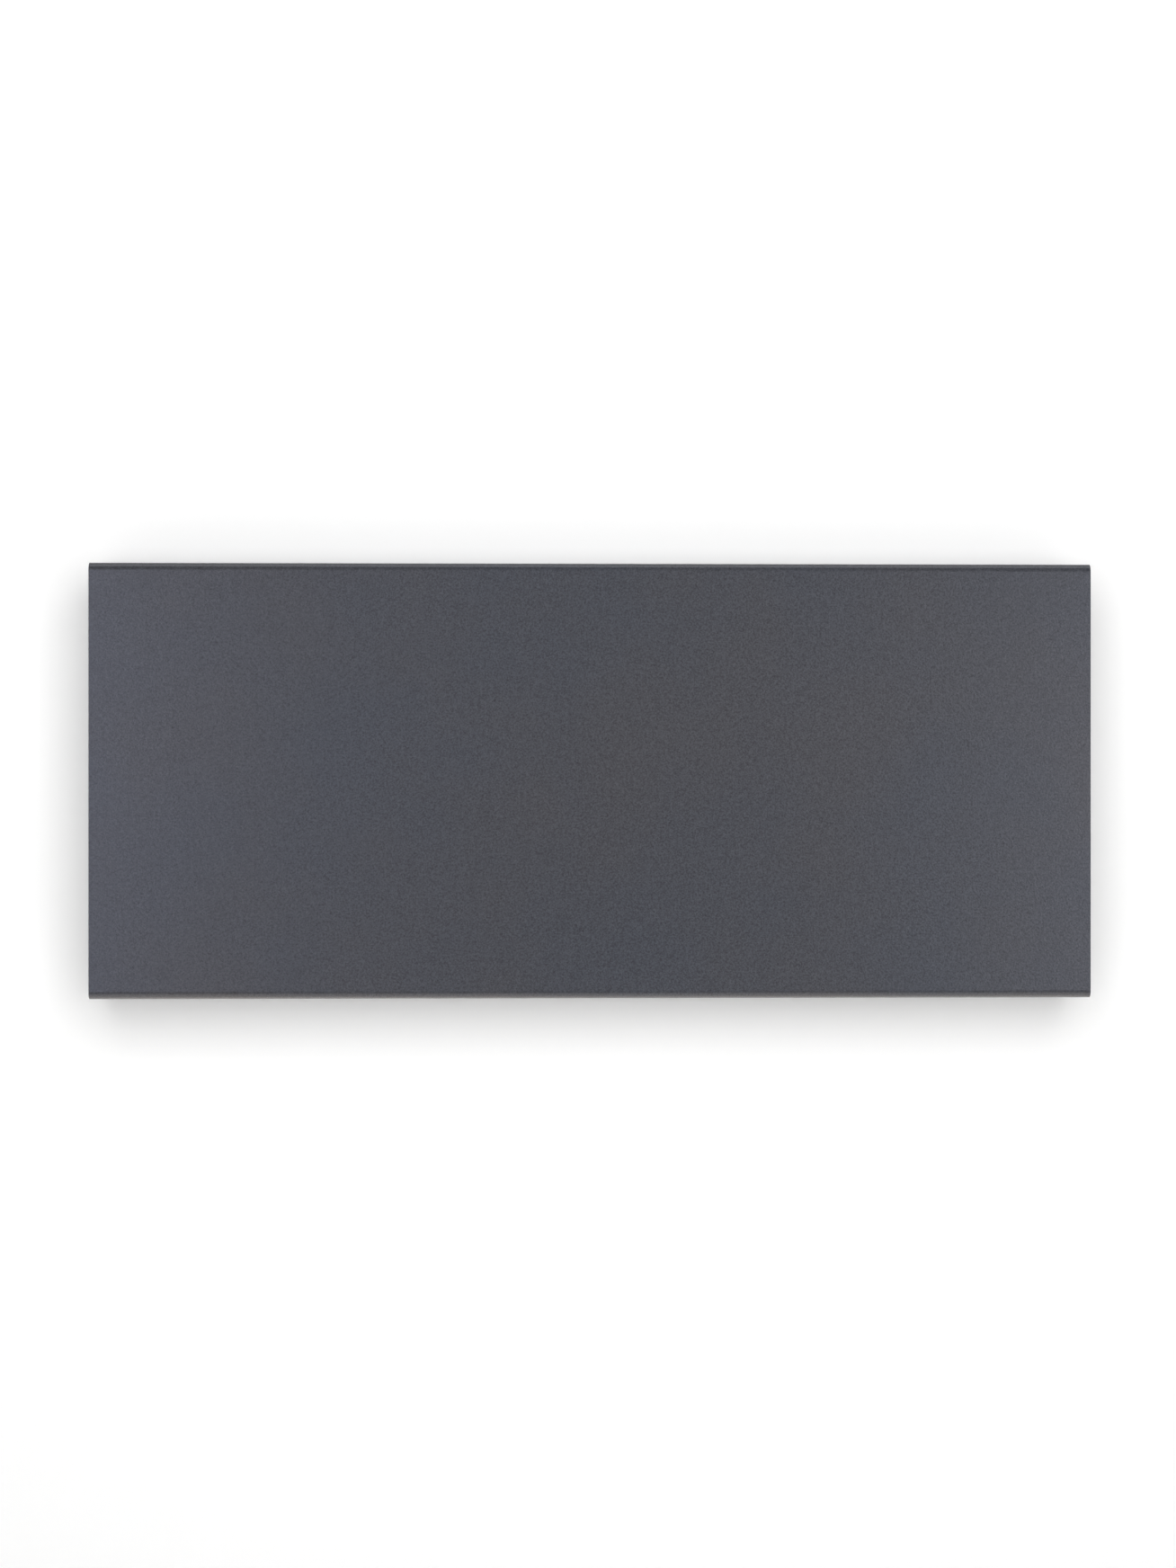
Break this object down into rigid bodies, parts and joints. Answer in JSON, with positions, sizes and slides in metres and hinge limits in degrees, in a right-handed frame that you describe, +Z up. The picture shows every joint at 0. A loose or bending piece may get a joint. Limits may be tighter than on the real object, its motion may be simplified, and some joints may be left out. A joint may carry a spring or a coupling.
{
  "type": "electric panel radiator",
  "caption": "Wall-hung electric panel radiator: a wide folded steel front over a slotted casing, with top controls and a hook-on wall bracket with turn locks.",
  "frame": {"origin": "centre of the wall bracket's four screw slots, on the wall", "axes": "+X along the radiator to its control end (the viewer's right), +Y out of its back into the wall, +Z up"},
  "size_m": [0.852, 0.086, 0.37],
  "materials": {
    "graphite_paint": "satin metallic powder coat",
    "casing_paint": "satin powder coat",
    "black_plastic": "fine moulded texture",
    "gloss_black": "polished",
    "smoked_window": "polished, smoked",
    "button_plastic": "satin",
    "galvanised": "galvanised sheet",
    "bright_steel": "plated",
    "aluminium": "as extruded",
    "sheath_steel": "dull heated steel",
    "ceramic": "glazed ceramic",
    "phenolic": "moulded",
    "nylon": "natural nylon",
    "rubber": "matt",
    "board_green": "lacquered board",
    "component_black": "moulded",
    "component_blue": "moulded",
    "tinned_brass": "tinned",
    "sleeve_clear": "milky plastic",
    "lead_brown": "cable insulation",
    "lead_white": "high-temperature insulation",
    "lead_grey": "cable insulation",
    "light_pipe": "clear",
    "white_face": "satin"
  },
  "bodies": {
    "wall_bracket": {"bracket_left_leg": "galvanised", "bracket_right_leg": "galvanised", "bracket_crossbar": "galvanised", "bracket_rivets": "bright_steel", "wall_bumpers": "rubber", "lock_studs": "bright_steel"},
    "heater": {"front_panel": "graphite_paint", "rear_casing": "casing_paint", "end_cap_left": "black_plastic", "end_cap_right": "black_plastic", "end_cap_screws": "bright_steel", "panel_screws": "bright_steel", "hook_shoes": "nylon", "chimney_plate_left": "galvanised", "chimney_plate_right": "galvanised", "front_heat_shield": "aluminium", "rear_heat_shield": "aluminium", "chassis_rivets": "bright_steel", "shield_rivets": "bright_steel", "element_fins": "aluminium", "element_sheath": "sheath_steel", "element_bushes": "ceramic", "element_end_seal": "ceramic", "cutout_cap": "aluminium", "thermal_cutout": "phenolic", "spade_tabs": "tinned_brass", "tab_sleeves": "sleeve_clear", "control_housing": "black_plastic", "control_fascia": "gloss_black", "display_window": "smoked_window", "display_board": "board_green", "led_display": "component_black", "tact_switches": "component_black", "indicator_lights": "light_pipe", "radio_module": "bright_steel", "ribbon_cable": "lead_grey", "power_board": "board_green", "board_standoffs": "nylon", "board_screws": "bright_steel", "relay": "component_black", "power_converter": "component_blue", "round_capacitor": "component_black", "board_sockets": "white_face", "cable_gland": "black_plastic", "gland_nut": "black_plastic", "terminal_block": "white_face", "sensor_holder": "black_plastic", "room_sensor": "phenolic", "switch_housing": "black_plastic", "mains_leads": "lead_brown", "switched_leads": "lead_brown", "element_leads": "lead_white", "sensor_lead": "lead_grey"},
    "lock_left": {"lock_left": "button_plastic"},
    "lock_right": {"lock_right": "button_plastic"},
    "button_power": {"button_power": "button_plastic"},
    "button_minus": {"button_minus": "button_plastic"},
    "button_plus": {"button_plus": "button_plastic"},
    "button_confirm": {"button_confirm": "button_plastic"},
    "power_rocker": {"power_rocker": "gloss_black"}
  },
  "joints": [
    {"name": "heater_swing", "type": "hinge", "parent": "wall_bracket", "child": "heater", "pos_m": [0, -0.0224, 0.141], "axis": [-1, 0, 0], "range_deg": [0, 20]},
    {"name": "lock_left_turn", "type": "hinge", "parent": "wall_bracket", "child": "lock_left", "pos_m": [-0.23, -0.012, -0.155], "axis": [0, -1, 0], "range_deg": [0, 90]},
    {"name": "lock_right_turn", "type": "hinge", "parent": "wall_bracket", "child": "lock_right", "pos_m": [0.23, -0.012, -0.155], "axis": [0, 1, 0], "range_deg": [0, 90]},
    {"name": "button_power_press", "type": "slide", "parent": "heater", "child": "button_power", "axis": [0, 0, -1], "range_m": [0, 0.0006], "stiffness_N_per_m": 800, "springref_m": -0.001},
    {"name": "button_minus_press", "type": "slide", "parent": "heater", "child": "button_minus", "axis": [0, 0, -1], "range_m": [0, 0.0006], "stiffness_N_per_m": 800, "springref_m": -0.001},
    {"name": "button_plus_press", "type": "slide", "parent": "heater", "child": "button_plus", "axis": [0, 0, -1], "range_m": [0, 0.0006], "stiffness_N_per_m": 800, "springref_m": -0.001},
    {"name": "button_confirm_press", "type": "slide", "parent": "heater", "child": "button_confirm", "axis": [0, 0, -1], "range_m": [0, 0.0006], "stiffness_N_per_m": 800, "springref_m": -0.001},
    {"name": "power_rocker_tilt", "type": "hinge", "parent": "heater", "child": "power_rocker", "pos_m": [0.4202, -0.054, -0.14], "axis": [0, -1, 0], "range_deg": [0, 20]}
  ]
}
